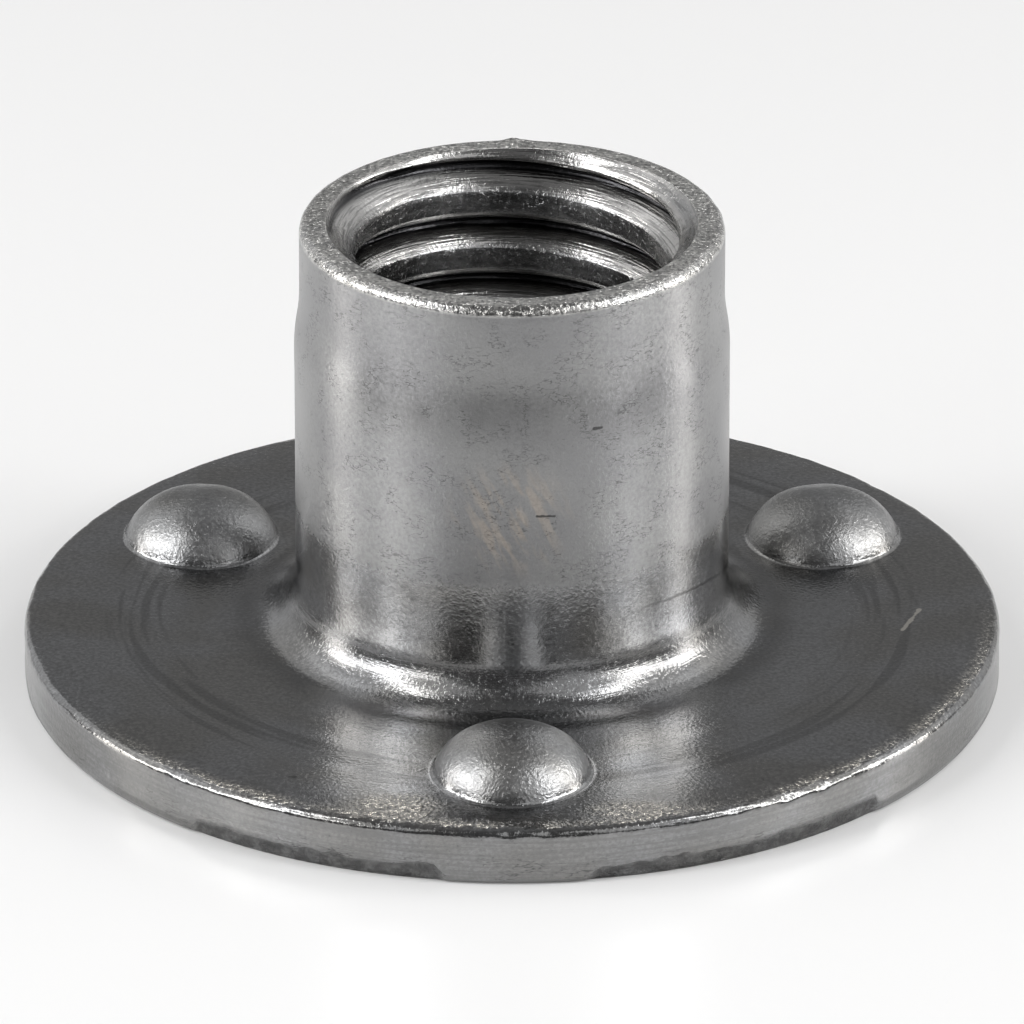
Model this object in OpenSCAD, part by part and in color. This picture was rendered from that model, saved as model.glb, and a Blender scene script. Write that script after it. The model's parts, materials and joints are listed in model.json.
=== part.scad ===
// Projection weld nut with a round base: a tapped barrel drawn up out of a blanked disc,
// with projections pressed up round it. The barrel passes through a hole in a panel and the
// projections melt to weld the base to the panel's back. One piece, in millimetres, standing
// on its base with the bore along +Z.

/* [Bore] */
// Diameter of the bore, which is the crest diameter of the thread cut in it
bore_d = 8.1; // [7.7:0.05:8.5]
// Diameter of the countersink where it meets the rim
mouth_d = 9.6; // [8.9:0.05:10]
// Angle of the countersink's wall from the axis
mouth_a = 45; // [30:1:60]
// Radius that draws the underside of the base up into the bore
draw_r = 2.4; // [1.6:0.1:2.8]

/* [Barrel] */
// Height of the nut from the underside of the base to the rim
nut_h = 12.7; // [11:0.1:18]
// Diameter of the barrel
barrel_d = 11.25; // [11.05:0.05:12]
// How much smaller in diameter the crown is than the barrel
crown_step = 0.28; // [0.1:0.02:0.4]
// Length of the crown below the rim
crown_h = 1.85; // [1:0.05:2.5]
// Length of the smooth step between the crown and the barrel
blend_h = 1.6; // [0.8:0.05:2.2]
// Radius of the rim's outer edge
rim_r = 0.28; // [0.1:0.02:0.4]
// Radius at the root of the barrel, where it meets the base
root_r = 1.3; // [0.8:0.05:1.6]

/* [Base] */
// Diameter of the base
base_d = 25.4; // [24.6:0.1:30]
// Thickness of the base
base_t = 1.6; // [1.2:0.05:2.2]
// Width of the band that rolls down towards the blanked edge
roll_w = 2; // [1:0.1:2.5]
// Fall of the top face across that band
roll_drop = 0.14; // [0.04:0.02:0.24]
// Radius of the top edge
edge_r = 0.22; // [0.1:0.02:0.4]
// Height of the torn band at the foot of the blanked edge
tear_h = 0.45; // [0.1:0.05:0.6]
// How far the torn band falls back at the underside
tear_w = 0.12; // [0.04:0.02:0.3]

/* [Projections] */
// Number of projections, equally spaced
proj_count = 3; // [3:1:4]
// Diameter of the circle that the projections stand on
proj_pcd = 18.9; // [18.4:0.1:19.4]
// Diameter of a projection at its foot
proj_d = 4.06; // [3.4:0.02:4.4]
// Height of a projection above the base
proj_h = 1.2; // [0.7:0.05:1.4]
// Radius of a projection's crown, as a multiple of that of a plain cap
proj_flat = 1.3; // [1.05:0.05:1.6]
// How much steeper a projection's foot is than that of a plain cap, in degrees
proj_steep = 11; // [2:1:16]
// Diameter of the punch mark under a projection
punch_d = 3; // [2:0.1:3.4]
// Depth of the punch mark under a projection
punch_depth = 1.1; // [0.5:0.05:1.2]

/* [Hidden] */
$fn = 128;

// Spare length that carries a cut clear of the face it starts from
over = 1;

bore_r = bore_d / 2;
mouth_r = mouth_d / 2;
mouth_depth = (mouth_r - bore_r) / tan(mouth_a);

barrel_r = barrel_d / 2;
crown_r = barrel_r - crown_step / 2;
crown_z = nut_h - crown_h;
blend_z = crown_z - blend_h;
blend_mid_z = blend_z + blend_h / 2;
// Two equal arcs that leave the barrel and reach the crown without a kink
blend_r = (blend_h * blend_h + crown_step * crown_step / 4) / (2 * crown_step);
root_z = base_t + root_r;

base_r = base_d / 2;
roll_x = base_r - roll_w;
roll_r = (roll_w * roll_w + roll_drop * roll_drop) / (2 * roll_drop);
// Centre of the edge's arc, which touches the rolled band and the edge
edge_x = base_r - edge_r;
edge_lean = asin((roll_w - edge_r) / (roll_r - edge_r));
edge_z = base_t - roll_r + (roll_r - edge_r) * cos(edge_lean);

proj_x = proj_pcd / 2;
proj_r = proj_d / 2;
// A plain cap of this foot and height, which the crown flattens and the shoulder fills out
cap_r = (proj_r * proj_r + proj_h * proj_h) / (2 * proj_h);
proj_foot_a = 2 * atan(proj_h / proj_r) + proj_steep;
proj_crown_r = cap_r * proj_flat;
proj_crown_z = proj_h - proj_crown_r;
shoulder_r = proj_h * (proj_crown_r - cap_r)
    / (proj_crown_r - proj_r * sin(proj_foot_a) + proj_crown_z * cos(proj_foot_a));
shoulder_x = proj_r - shoulder_r * sin(proj_foot_a);
shoulder_z = -shoulder_r * cos(proj_foot_a);
// Half angle of the crown, up to where the shoulder takes over
crown_half_a = asin(shoulder_x / (proj_crown_r - shoulder_r));
// How far a projection's foot reaches into the base below the top face
proj_sink = roll_drop + (base_t - punch_depth) / 4;
punch_r = punch_d / 2;
punch_sphere_r = (punch_r * punch_r + punch_depth * punch_depth) / (2 * punch_depth);

// Half section of the base, with its top rolled down towards the blanked edge
module base_section() {
    difference() {
        union() {
            square([roll_x, base_t]);
            intersection() {
                translate([roll_x, base_t - roll_r]) circle(roll_r, $fn = 4 * $fn);
                translate([roll_x, 0]) square([roll_w, base_t + over]);
            }
        }
        edge_cut();
        tear_cut();
    }
}

// Corner that the rounded top edge leaves off
module edge_cut() {
    difference() {
        polygon([
            [edge_x, edge_z],
            [edge_x + over * sin(edge_lean), edge_z + over * cos(edge_lean)],
            [base_r + over, edge_z + over],
            [base_r + over, edge_z]
        ]);
        translate([edge_x, edge_z]) circle(edge_r);
    }
}

// Wedge that tears away at the foot of the blanked edge
module tear_cut() {
    lean = tear_w / tear_h;
    polygon([
        [base_r, tear_h],
        [base_r - tear_w - over * lean, -over],
        [base_r + over, -over],
        [base_r + over, tear_h]
    ]);
}

// Half section of the barrel: root, shank, smooth step, crown and rounded rim
module barrel_section() {
    difference() {
        translate([0, base_t]) square([barrel_r + root_r, root_r]);
        translate([barrel_r + root_r, root_z]) circle(root_r);
    }
    translate([0, root_z]) square([barrel_r, blend_z - root_z]);
    intersection() {
        translate([barrel_r - blend_r, blend_z]) circle(blend_r);
        translate([0, blend_z]) square([barrel_r, blend_h / 2]);
    }
    difference() {
        translate([0, blend_mid_z]) square([barrel_r, blend_h / 2]);
        translate([crown_r + blend_r, crown_z]) circle(blend_r);
    }
    translate([0, crown_z]) square([crown_r, crown_h - rim_r]);
    translate([0, nut_h - rim_r]) square([crown_r - rim_r, rim_r]);
    translate([crown_r - rim_r, nut_h - rim_r]) intersection() {
        circle(rim_r);
        square(2 * rim_r);
    }
}

// Half section of the void: drawn entry, bore and countersunk mouth
module bore_section() {
    translate([0, -over]) square([bore_r, nut_h + 2 * over]);
    difference() {
        translate([0, -over]) square([bore_r + draw_r, draw_r + over]);
        translate([bore_r + draw_r, draw_r]) circle(draw_r);
    }
    polygon([
        [0, nut_h - mouth_depth],
        [bore_r, nut_h - mouth_depth],
        [mouth_r + over * tan(mouth_a), nut_h + over],
        [0, nut_h + over]
    ]);
}

// The turned form: base and barrel with the bore taken out
module turned_body() {
    rotate_extrude() difference() {
        union() {
            base_section();
            barrel_section();
        }
        bore_section();
    }
}

// Half section of a projection: a flattened crown on a round shoulder
module projection_section() {
    reach = 2 * proj_crown_r;
    intersection() {
        union() {
            translate([shoulder_x, shoulder_z]) circle(shoulder_r);
            intersection() {
                translate([0, proj_crown_z]) circle(proj_crown_r);
                polygon([
                    [0, proj_crown_z],
                    [reach * sin(crown_half_a), proj_crown_z + reach * cos(crown_half_a)],
                    [0, proj_crown_z + reach]
                ]);
            }
        }
        translate([0, -proj_sink]) square([proj_d, proj_h + proj_sink + over]);
    }
}

// Projection pressed up out of the base
module projection() {
    translate([0, 0, base_t]) rotate_extrude() projection_section();
}

// Round-nosed mark that the punch leaves under a projection
module punch_mark() {
    translate([0, 0, punch_depth - punch_sphere_r]) sphere(punch_sphere_r);
}

// Places its children on the projections' circle, the first towards -Y
module at_projections() {
    for (i = [0 : proj_count - 1]) {
        rotate(i * 360 / proj_count - 90) translate([proj_x, 0, 0]) children();
    }
}

module weld_nut() {
    color("dimgray") difference() {
        union() {
            turned_body();
            at_projections() projection();
        }
        at_projections() punch_mark();
    }
}

weld_nut();
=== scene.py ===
import itertools
import json
import math

import bmesh
import bpy
import numpy as np
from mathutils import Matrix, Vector
from mathutils.geometry import delaunay_2d_cdt


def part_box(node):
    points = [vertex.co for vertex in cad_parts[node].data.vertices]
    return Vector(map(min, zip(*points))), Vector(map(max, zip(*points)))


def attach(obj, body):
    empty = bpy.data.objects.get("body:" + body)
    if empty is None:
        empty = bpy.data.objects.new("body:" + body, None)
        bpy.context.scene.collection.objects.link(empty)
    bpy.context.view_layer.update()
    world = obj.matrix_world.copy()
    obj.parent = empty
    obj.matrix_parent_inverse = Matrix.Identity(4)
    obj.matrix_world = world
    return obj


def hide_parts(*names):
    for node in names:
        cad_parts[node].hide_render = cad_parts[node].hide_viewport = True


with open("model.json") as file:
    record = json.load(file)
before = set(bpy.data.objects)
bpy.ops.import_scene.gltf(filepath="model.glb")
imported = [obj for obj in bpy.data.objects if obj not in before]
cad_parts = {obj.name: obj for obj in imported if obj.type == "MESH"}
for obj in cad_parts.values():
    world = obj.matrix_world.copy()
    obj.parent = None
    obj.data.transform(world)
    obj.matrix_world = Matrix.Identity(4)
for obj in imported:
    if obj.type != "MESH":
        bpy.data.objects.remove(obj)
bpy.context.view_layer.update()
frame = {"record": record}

# Sizes of the nut are in millimetres and become metres when its mesh is made. The floor, the lights
# and the camera are in metres.
MM = 0.001

NODE = "weld_nut"
record = frame["record"]
mounts = {m["name"]: m for m in record["mounts"]}
low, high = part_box(NODE)

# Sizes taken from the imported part
NUT_H = (high.z - low.z) / MM
BASE_R = (high.x - low.x) / 2 / MM
BORE_R = mounts["thread"]["dims"]["r_mm"]
BORE_LENGTH = mounts["thread"]["dims"]["length_mm"]
BORE_MID = mounts["thread"]["pos_m"][2] / MM
BARREL_R = mounts["barrel_pilot"]["dims"]["r_mm"]
SHANK_LENGTH = mounts["barrel_pilot"]["dims"]["length_mm"]
SHANK_MID = mounts["barrel_pilot"]["pos_m"][2] / MM
PROJ_COUNT = mounts["weld_projections"]["dims"]["count"]
PROJ_X = mounts["weld_projections"]["dims"]["pcd_mm"] / 2
PROJ_TOP = mounts["weld_projections"]["pos_m"][2] / MM

# Height of a projection, and the heights and radii that follow
PROJ_H = 1.2
BASE_T = PROJ_TOP - PROJ_H
ROOT_Z = SHANK_MID - SHANK_LENGTH / 2
ROOT_R = ROOT_Z - BASE_T
BLEND_Z = SHANK_MID + SHANK_LENGTH / 2
DRAW_R = BORE_MID - BORE_LENGTH / 2
MOUTH_Z = BORE_MID + BORE_LENGTH / 2
MOUTH_R = BORE_R + NUT_H - MOUTH_Z

# Edges and steps of the solid
CROWN_STEP = 0.14
CROWN_H = 1.85
CROWN_R = BARREL_R - CROWN_STEP
CROWN_Z = NUT_H - CROWN_H
RIM_R = 0.28
MOUTH_EDGE_R = 0.06
ROLL_W = 2.0
ROLL_DROP = 0.14
EDGE_R = 0.22
TEAR_H = 0.45
TEAR_W = 0.12
FOOT_EDGE_R = 0.05
PROJ_R = 2.03
PROJ_FLAT = 1.3
PROJ_STEEP = math.radians(11)
PROJ_CREASE_R = 0.16
PUNCH_R = 1.5
PUNCH_DEPTH = 1.1
PUNCH_EDGE_R = 0.12

# Marks that the press tools have left on the top of the base
DISH_R = 8.7
DISH_W = 0.7
DISH_DEPTH = 0.03
CLAMP_R = 9.9
CLAMP_W = 0.28
CLAMP_DEPTH = 0.018
# The base's top is smooth for this width round the barrel's root
CALM_W = 0.8
# Painted highlight along the brink of the base in front: its width, and the limits between which it fades
# backwards and breaks up
BRINK_W = 0.6
BRINK_LEAN = 0.3
BRINK_FRONT = (2.0, 9.0)
BRINK_BROKEN = (-1.0, 0.2)
# Patches of painted reflection by the front projection: place, half length, half width and strength
PAINTED_REFLECTIONS = ((-2.9, -11.45, 1.25, 0.7, 0.9), (3.2, -11.6, 1.3, 0.5, 0.8))
PAINTED_REFLECTION_RAGGED = 0.3
PAINTED_REFLECTION_FADE = (1.3, 0.5)

# Stretches of the edge that tore, as angles in degrees, where the camera sees them
TORN_FRONT = ((-131, -98), (-80.7, -42))
TORN_FRONT_REACH = (-165, -15)
TORN_SOFT = 2
TORN_BEHIND_FADE = (-0.2, 0.1)
# Height of the torn foot: least, growth and waves, for sound and for torn stretches, and its limits
TEAR_LOW = 0.13
TEAR_GROWTH = TEAR_H - 0.1
TEAR_WAVE = 0.03
TEAR_TORN_WAVE = 0.07
TEAR_RANGE = (0.09, 0.75)
# How far a sound stretch falls back compared with a torn one, and how deep the torn step is
SOUND_FALL = 0.35
TEAR_STEP = 0.045
TEAR_PROUD = 0.015
# The wall stands this far inside the base's radius, and its mark ends at this angle of the rounded top
WALL_IN = 0.008
LIP_DEG = 20
# Nicks in the edge's rounded top: angle in degrees, half width and depth
EDGE_NICKS = (
    (-90.2, 0.14, 0.05),
    (-51.6, 0.2, 0.05),
    (-56.6, 0.16, 0.05),
    (-85.6, 0.14, 0.03),
    (40, 0.2, 0.05),
    (118, 0.3, 0.04),
)

# Burr on the rim, on the side away from the camera
BURR_ANGLE = math.radians(89)
BURR_W = 0.3
BURR_H = 0.09

# Unified coarse thread, 16 turns to the inch on 3/8 inch, right-handed
INCH = 25.4
PITCH = INCH / 16
MAJOR_R = 3 / 8 * INCH / 2
FLANK = math.radians(30)
ROOT_FLAT = PITCH / 8
# How far the flanks bulge towards the crests, as in a formed thread: 0 is straight
BULGE = 0.9
# Height of a crest's middle on the side away from the camera
CREST_Z = 11.47
CREST_ANGLE = math.radians(90)
# Turns of the grid below and above that crest, before they are cut off at the bore's ends
TURNS = range(-10, 4)
# How softly the thread runs into the plain bore, how clear of the thread the drawn entry starts,
# and over what heights the thread fades in at the foot and out at the mouth
THREAD_SOFT = 0.03
THREAD_CLEAR = 0.04
FADE_FOOT = 0.2
FADE_MOUTH = 0.15
# How far inside the major radius the painted shade of the thread's roots begins and is full
ROOT_PAINTED_SHADE = (0.3, 0.08)

# Whole numbers that stir the noise, and how far a seed moves it
HASH_STEPS = (374761393, 668265263, 2147483647)
HASH_SEED = 974711
HASH_MIX = 1274126177
SEED_SHIFT = 17.31
# Smooth noises, as layers of strength, lump size and seed
TOP_WAVES = ((0.012, 4.5, 1), (0.005, 1.6, 2))
TOP_WANDER = ((0.15, 6.0, 3),)
DOME_LUMPS = ((0.005, 0.6, 5), (0.0015, 0.25, 6))
TORN_WANDER = ((2.5, 0.7, 10), (1.2, 0.25, 19))
TORN_BEHIND = ((1.0, 3.0, 11),)
TEAR_WAVES = ((1.0, 0.8, 12),)
TEAR_RAGGED = ((0.06, 0.3, 20),)
TORN_LUMPS = ((0.035, 0.5, 13), (0.025, 0.22, 14))
WALL_LUMPS = ((0.01, 1.4, 15), (0.004, 0.4, 16))
EDGE_LUMPS = ((0.014, 0.45, 17), (0.008, 0.22, 18))
BARREL_DENTS = ((0.006, 2.2, 21), (0.003, 0.7, 22))
RIM_DENTS = ((0.012, 0.5, 23), (0.008, 0.25, 24))
BURR_LUMPS = ((0.5, 0.2, 25),)
LAND_LUMPS = ((0.014, 0.6, 26), (0.01, 0.25, 27))
CREST_CHIPS = ((0.016, 0.22, 31), (0.01, 0.5, 32))
BRINK_PATCHES = ((1.0, 2.0, 31), (0.5, 0.5, 32))
PAINTED_SHADE_PATCHES = ((0.35, 0.7, 33), (0.25, 0.35, 34))
HEEL_PATCHES = ((0.4, 0.8, 35),)

# Grid counts, spacings in plan, and the rings round a projection and a punch mark
BARREL_COLUMNS = 288
EDGE_COLUMNS = 560
DOME_COLUMNS = 84
TOP_SPACING = 0.17
UNDER_SPACING = 0.4
DOME_RING_R = 2.42
PUNCH_RING_R = 2.1
# Rows of a plan lie this many spacings apart, and keep this many clear of a hole
ROW_STEP = 0.87
HOLE_CLEAR = 0.6
# Points closer than this, in metres, become one
WELD = 2e-8

# Zones of the surface that the mesh marks for the steel
ZONES = ("barrel", "soot", "dome", "rim", "land", "thread", "crest", "root", "torn", "wall", "brink")
# Height of the grain, of its proud grains and of the tool lines in mm, and added roughness.
# FINISH holds everywhere, and each zone adds its own.
FINISH_NAMES = ("grain_mm", "proud_mm", "lines_mm", "dull")
FINISH = (0.009, 0.001, 0.002, 0.0)
ZONE_FINISH = {
    "barrel": (-0.0035, 0.0, -0.0015, 0.0),
    "fillet": (-0.002, 0.002, 0.004, 0.045),
    "dome": (0.009, 0.002, -0.002, 0.21),
    "rim": (0.014, 0.012, 0.0, 0.06),
    "land": (0.022, 0.014, 0.0, 0.18),
    "thread": (0.0, 0.0, 0.018, 0.06),
    "crest": (0.006, 0.006, 0.0, 0.06),
    "brink": (0.03, 0.018, 0.0, 0.06),
    "wall": (0.0, 0.0, 0.0, 0.05),
    "torn": (0.06, 0.0, 0.0, 0.35),
}
# Painted shade: dark bands on the barrel, on its fillet and round its heel, standing for shade and dark
# reflections: strengths, heights, widths, and the angles from the front between which they fade
NECK_PAINTED_SHADE = 0.32
NECK_PAINTED_SHADE_Z = 9.67
FOOT_PAINTED_SHADE = 0.36
FRONT_PAINTED_SHADE = 0.18
FOOT_PAINTED_SHADE_Z = 4.1
NECK_PAINTED_SHADE_TURN = (52, 36)
FOOT_PAINTED_SHADE_TURN = (26, 42)
FRONT_PAINTED_SHADE_TURN = (22, 12)
PAINTED_SHADE_W = 0.8
FILLET_PAINTED_SHADE = 0.2
FILLET_ASIDE = (-2.2, 0.8)
HEEL_PAINTED_SHADE = 0.4
HEEL_PAINTED_SHADE_W = 0.42
# The shank turns hazy above this height, within a soft margin
SHANK_FOOT = 4.9
SHANK_SOFT = 0.3
# Fold on the lower barrel: its highest point, its bend down in mm for a radian squared, and its reach
FOLD_ANGLE = math.radians(-52)
FOLD_Z = 3.84
FOLD_BEND = 0.9
FOLD_REACH = 0.9
# Sizes of the steel's grain, lumps and stains, and how rough their noise is
GRAIN = 0.1
LUMP = 0.35
STAIN = 2.5
NOISE_ROUGHNESS = 0.6
# Tool lines, dark arcs and wrinkles: how often they change round the axis, and their width
LINES = (4.0, 0.07)
ARCS = (2.0, 0.3)
WRINKLES = (16.0, 0.14)
WRINKLE_PATCH = 0.8
# How much height the thread's lines follow beside the radius
LINES_LEAN = 0.3
# The ring of dark arcs round the base
RING_R = 9.75
RING_W = 0.7
# Oil smudge on the front of the barrel
SMUDGE_AT = (-0.05, -5.6, 6.85)
SMUDGE_R = 1.9
SMUDGE_SLANT = 0.45
STREAK_W = 0.34
STREAK_LENGTH = 1.2
# Scratches: start, end and half width
BRIGHT_SCRATCHES = (
    ((10.15, -1.1, 1.6), (10.62, 0.15, 1.6), 0.06),
    ((6.67, -8.37, 1.55), (7.6, -7.62, 1.55), 0.035),
    ((7.6, -7.62, 1.55), (8.47, -6.76, 1.55), 0.035),
)
DARK_GOUGES = (
    ((0.64, -5.59, 6.95), (1.08, -5.52, 6.92), 0.045),
    ((2.1, -5.22, 9.25), (2.28, -5.14, 9.22), 0.06),
    ((8.56, -7.64, 1.55), (8.64, -7.58, 1.55), 0.07),
    ((-5.66, -9.74, 1.57), (-5.5, -9.78, 1.57), 0.06),
)

# Colours of the steel, among them painted shade and a painted highlight
STEEL = {
    "base_stained": (0.325, 0.32, 0.31, 1),
    "base": (0.38, 0.383, 0.39, 1),
    "shank_stained": (0.365, 0.365, 0.37, 1),
    "shank": (0.415, 0.415, 0.415, 1),
    "pit": (0.15, 0.15, 0.15, 1),
    # Painted shade on the barrel, its fillet and round its heel
    "soot": (0.12, 0.12, 0.12, 1),
    "oil": (0.56, 0.49, 0.42, 1),
    # Painted highlight on the front brink and painted reflections by the front projection
    "rubbed": (0.85, 0.81, 0.73, 1),
    "dome": (0.5, 0.5, 0.495, 1),
    "wall": (0.21, 0.21, 0.208, 1),
    "worn": (0.88, 0.87, 0.84, 1),
    "flank": (0.5, 0.495, 0.485, 1),
    "crest": (0.4, 0.4, 0.4, 1),
    "arc": (0.13, 0.13, 0.13, 1),
    "crack": (0.06, 0.06, 0.06, 1),
    "scratch": (0.9, 0.86, 0.78, 1),
    # Painted shade in the thread's roots
    "root": (0.04, 0.04, 0.042, 1),
    "torn": (0.1, 0.1, 0.1, 1),
}
# How much the shank and the thread are drawn out along their grain
ANISOTROPY = 0.8
# A quarter turn lays the grain round the axis
GRAIN_TURN = 0.25

# The floor lies a hair below the nut
FLOOR_GAP = 0.02 * MM
FLOOR_R = 1.2
FLOOR_SIDES = 96
FLOOR_COLOUR = (0.92, 0.92, 0.92, 1)
FLOOR_ROUGHNESS = 0.22
FLOOR_GLOW = 0.07
# Light panels: elevation in degrees, distance, width and height in metres
BOX_PANEL = (40, 0.21, 0.036, 0.16)
LOW_PANEL = (25, 0.21, 0.22, 0.032)
STRIP_PANEL = (16, 0.21, 0.045, 0.13)
REAR_PANEL = (30, 0.23, 0.14, 0.25)
WALL_ELEVATION = 41
WALL_DISTANCE = 0.22
WALL_HEIGHT = 0.2
# Azimuths in degrees from the camera's side, the same to left and right
WALL_BACK = 118
BOX_AZIMUTH = 68
STRIP_AZIMUTH = 98
REAR_AZIMUTH = 138
# Radiances of the panels
WALL_RADIANCE = 0.62
LOW_RADIANCE = 4.8
STRIP_RADIANCE = 4.1
REAR_RADIANCE = 0.4
WARM = (1.0, 0.97, 0.93)
# Where the sides differ: sign, azimuth of the wall's front, radiance of the box, azimuth of the low band
LIGHT_SIDES = {"left": (-1, 38, 5.9, 70), "right": (1, 25, 4.9, 79)}
# Colour of the room in front of the nut and behind it
ROOM_FRONT = (0.11, 0.11, 0.111, 1)
ROOM_BACK = (0.25, 0.25, 0.252, 1)

# Camera, as fitted to the photograph
CAMERA_DISTANCE = 355.6 * MM
CAMERA_ELEVATION = math.radians(25.6)
CAMERA_AIM_Z = 4.47 * MM
SENSOR_MM = 36
LENS_MM = 479
CLIP_START = 0.01


def value_noise(points, size, seed):
    """Smooth noise between -1 and 1 at points in mm, with lumps of about the given size."""
    p = np.asarray(points, float) / size + seed * SEED_SHIFT
    cell = np.floor(p).astype(np.int64)
    f = p - cell
    f = f * f * (3 - 2 * f)
    total = np.zeros(p.shape[:-1])
    mask = 0xFFFFFFFF
    for corner in itertools.product((0, 1), repeat=3):
        c = cell + np.array(corner)
        h = sum(c[..., axis] * step for axis, step in enumerate(HASH_STEPS))
        h = (h + seed * HASH_SEED) & mask
        h = ((h ^ (h >> 13)) * HASH_MIX) & mask
        lump = ((h ^ (h >> 16)) & 0xFFFF) / 32767.5 - 1
        weight = np.ones(p.shape[:-1])
        for axis, side in enumerate(corner):
            weight = weight * (f[..., axis] if side else 1 - f[..., axis])
        total += lump * weight
    return total


def lumpy(points, layers):
    """Sum of layers of smooth noise at points in mm."""
    return sum(strength * value_noise(points, size, seed) for strength, size, seed in layers)


def smooth_step(x, start, end):
    """0 before start, 1 after end, with a smooth rise between."""
    t = np.clip((np.asarray(x, float) - start) / (end - start), 0, 1)
    return t * t * (3 - 2 * t)


def arc(cx, cz, r, start_deg, end_deg, count):
    """Points of an arc in the half section, both ends included."""
    a = np.radians(np.linspace(start_deg, end_deg, count))
    return np.stack([cx + r * np.cos(a), cz + r * np.sin(a)], -1)


def straight(start, end, count):
    """Points along a straight line in the half section, both ends left out."""
    t = np.linspace(0, 1, count + 2)[1:-1, None]
    return np.asarray(start) + t * (np.asarray(end) - np.asarray(start))


def columns(count):
    """Angles of the columns of a turned grid."""
    return np.linspace(0, 2 * math.pi, count, endpoint=False)


def turned(profile, count):
    """Rows of points from a half section turned about the axis."""
    a = columns(count)
    r, z = profile[:, 0, None], profile[:, 1, None]
    return np.stack([r * np.cos(a), r * np.sin(a), np.broadcast_to(z, (len(profile), count))], -1)


def finish(marks):
    """The finish of each point, from how much it belongs to each zone."""
    barrel = marks["barrel"]
    marks = dict(marks, fillet=4 * barrel * (1 - barrel))
    made = {}
    for i, name in enumerate(FINISH_NAMES):
        made[name] = FINISH[i] + sum(marks[zone] * parts[i] for zone, parts in ZONE_FINISH.items())
    return made


class Shell:
    """Collects patches of points and faces, and makes one closed mesh of them."""

    def __init__(self):
        self.points = []
        self.faces = []
        self.marks = {}
        self.count = 0

    def add_points(self, points, **marks):
        """Takes in points with their marks, and gives the number of the first."""
        start = self.count
        points = np.asarray(points, float).reshape(-1, 3)
        self.points.append(points)
        self.count += len(points)
        for name in sorted(set(self.marks) | set(marks)):
            rows = self.marks.setdefault(name, [np.zeros(start)] if start else [])
            value = marks.get(name, 0.0)
            rows.append(np.broadcast_to(np.asarray(value, float).reshape(-1), (len(points),)).copy())
        return start

    def add_grid(self, grid, flip=False, shift=0, **marks):
        """Joins rows of points, closed round the columns. shift rows are skipped at the seam."""
        rows, cols = grid.shape[:2]
        start = self.add_points(grid, **marks)
        for i in range(rows - 1):
            for j in range(cols):
                last = j == cols - 1
                step = shift if last else 0
                k = (j + 1) % cols
                if not 0 <= i + step < rows - 1:
                    continue
                a, b = start + i * cols + j, start + (i + step) * cols + k
                c, d = start + (i + 1 + step) * cols + k, start + (i + 1) * cols + j
                self.faces.append((a, d, c, b) if flip else (a, b, c, d))

    def add_cap(self, ring, centre, flip=False, **marks):
        """Closes a ring with a fan."""
        start = self.add_points(np.vstack([ring, centre]), **marks)
        count = len(ring)
        for j in range(count):
            k = (j + 1) % count
            face = (start + j, start + k, start + count)
            self.faces.append(face[::-1] if flip else face)

    def make(self, name):
        """Welds the patches into one mesh that carries the marks and the finish."""
        bm = bmesh.new()
        points = np.vstack(self.points) * MM
        marks = {mark: np.concatenate(rows) for mark, rows in self.marks.items()}
        marks.update(finish(marks))
        layers = {mark: (bm.verts.layers.float.new(mark), values) for mark, values in marks.items()}
        verts = [bm.verts.new(p) for p in points]
        for layer, values in layers.values():
            for vert, value in zip(verts, values):
                vert[layer] = value
        for face in self.faces:
            bm.faces.new([verts[i] for i in face])
        bmesh.ops.remove_doubles(bm, verts=bm.verts, dist=WELD)
        bmesh.ops.recalc_face_normals(bm, faces=bm.faces)
        for face in bm.faces:
            face.smooth = True
        mesh = bpy.data.meshes.new(name)
        bm.to_mesh(mesh)
        open_edges = sum(1 for e in bm.edges if len(e.link_faces) != 2)
        bm.free()
        print(f"{name}: {len(mesh.loop_triangles)} triangles, {open_edges} open edges")
        return mesh


def dome_profile():
    """Half section of a projection from its foot inwards, as (distance, height)."""
    cap_r = (PROJ_R ** 2 + PROJ_H ** 2) / (2 * PROJ_H)
    foot = 2 * math.atan(PROJ_H / PROJ_R) + PROJ_STEEP
    crown_r = cap_r * PROJ_FLAT
    crown_z = PROJ_H - crown_r
    bulk = crown_r - PROJ_R * math.sin(foot) + crown_z * math.cos(foot)
    shoulder_r = PROJ_H * (crown_r - cap_r) / bulk
    sx = PROJ_R - shoulder_r * math.sin(foot)
    sz = -shoulder_r * math.cos(foot)
    # The crease arc touches the base and the shoulder
    reach = shoulder_r + PROJ_CREASE_R
    rise = PROJ_CREASE_R - sz
    cx = sx + math.sqrt(reach ** 2 - rise ** 2)
    lean = math.degrees(math.atan2(rise, cx - sx))
    crown_half = math.degrees(math.asin(sx / (crown_r - shoulder_r)))
    crease = arc(cx, PROJ_CREASE_R, PROJ_CREASE_R, 270, 180 + lean, 6)
    shoulder = arc(sx, sz, shoulder_r, lean, 90 - crown_half, 12)
    crown = arc(0, crown_z, crown_r, 90 - crown_half, 88.5, 5)
    return np.vstack([crease, shoulder[1:], crown[1:]])


def roll_fall(r):
    """How far the top of the base lies below its middle at radius r."""
    roll_r = (ROLL_W ** 2 + ROLL_DROP ** 2) / (2 * ROLL_DROP)
    over = np.clip(np.asarray(r, float) - (BASE_R - ROLL_W), 0, ROLL_W)
    return roll_r - np.sqrt(roll_r ** 2 - over ** 2)


def projection_centres():
    """Middles of the projections in plan, the first towards the camera."""
    a = -math.pi / 2 + np.arange(PROJ_COUNT) * 2 * math.pi / PROJ_COUNT
    return np.stack([PROJ_X * np.cos(a), PROJ_X * np.sin(a)], -1)


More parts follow.
